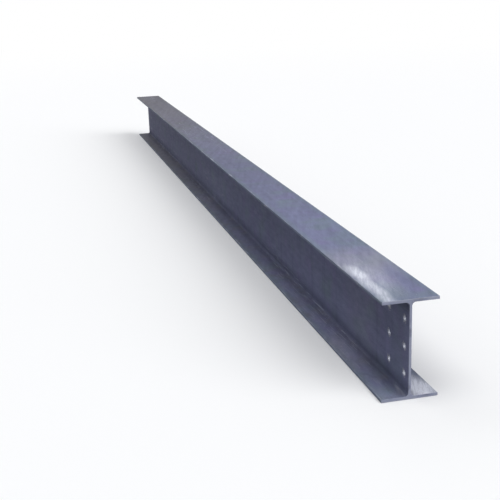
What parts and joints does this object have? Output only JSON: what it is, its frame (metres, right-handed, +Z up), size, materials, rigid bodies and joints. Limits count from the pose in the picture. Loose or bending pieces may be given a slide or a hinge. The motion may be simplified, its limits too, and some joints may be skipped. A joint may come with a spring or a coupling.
{
  "type": "steel i-beam",
  "caption": "Painted steel beam of H section with parallel flanges, rounded roots and bolt holes through the web near each end.",
  "frame": {"origin": "centre of the underside of the bottom flange, at mid-length, on the surface that the beam lies on", "axes": "+Y along the beam's length, +X across the flanges, +Z up along the web, square to the flanges"},
  "size_m": [0.2, 6, 0.35],
  "materials": {
    "painted_steel": "blue-grey shop primer, satin, a little scuffed"
  },
  "bodies": {
    "root": {"i_beam": "painted_steel"}
  },
  "joints": []
}
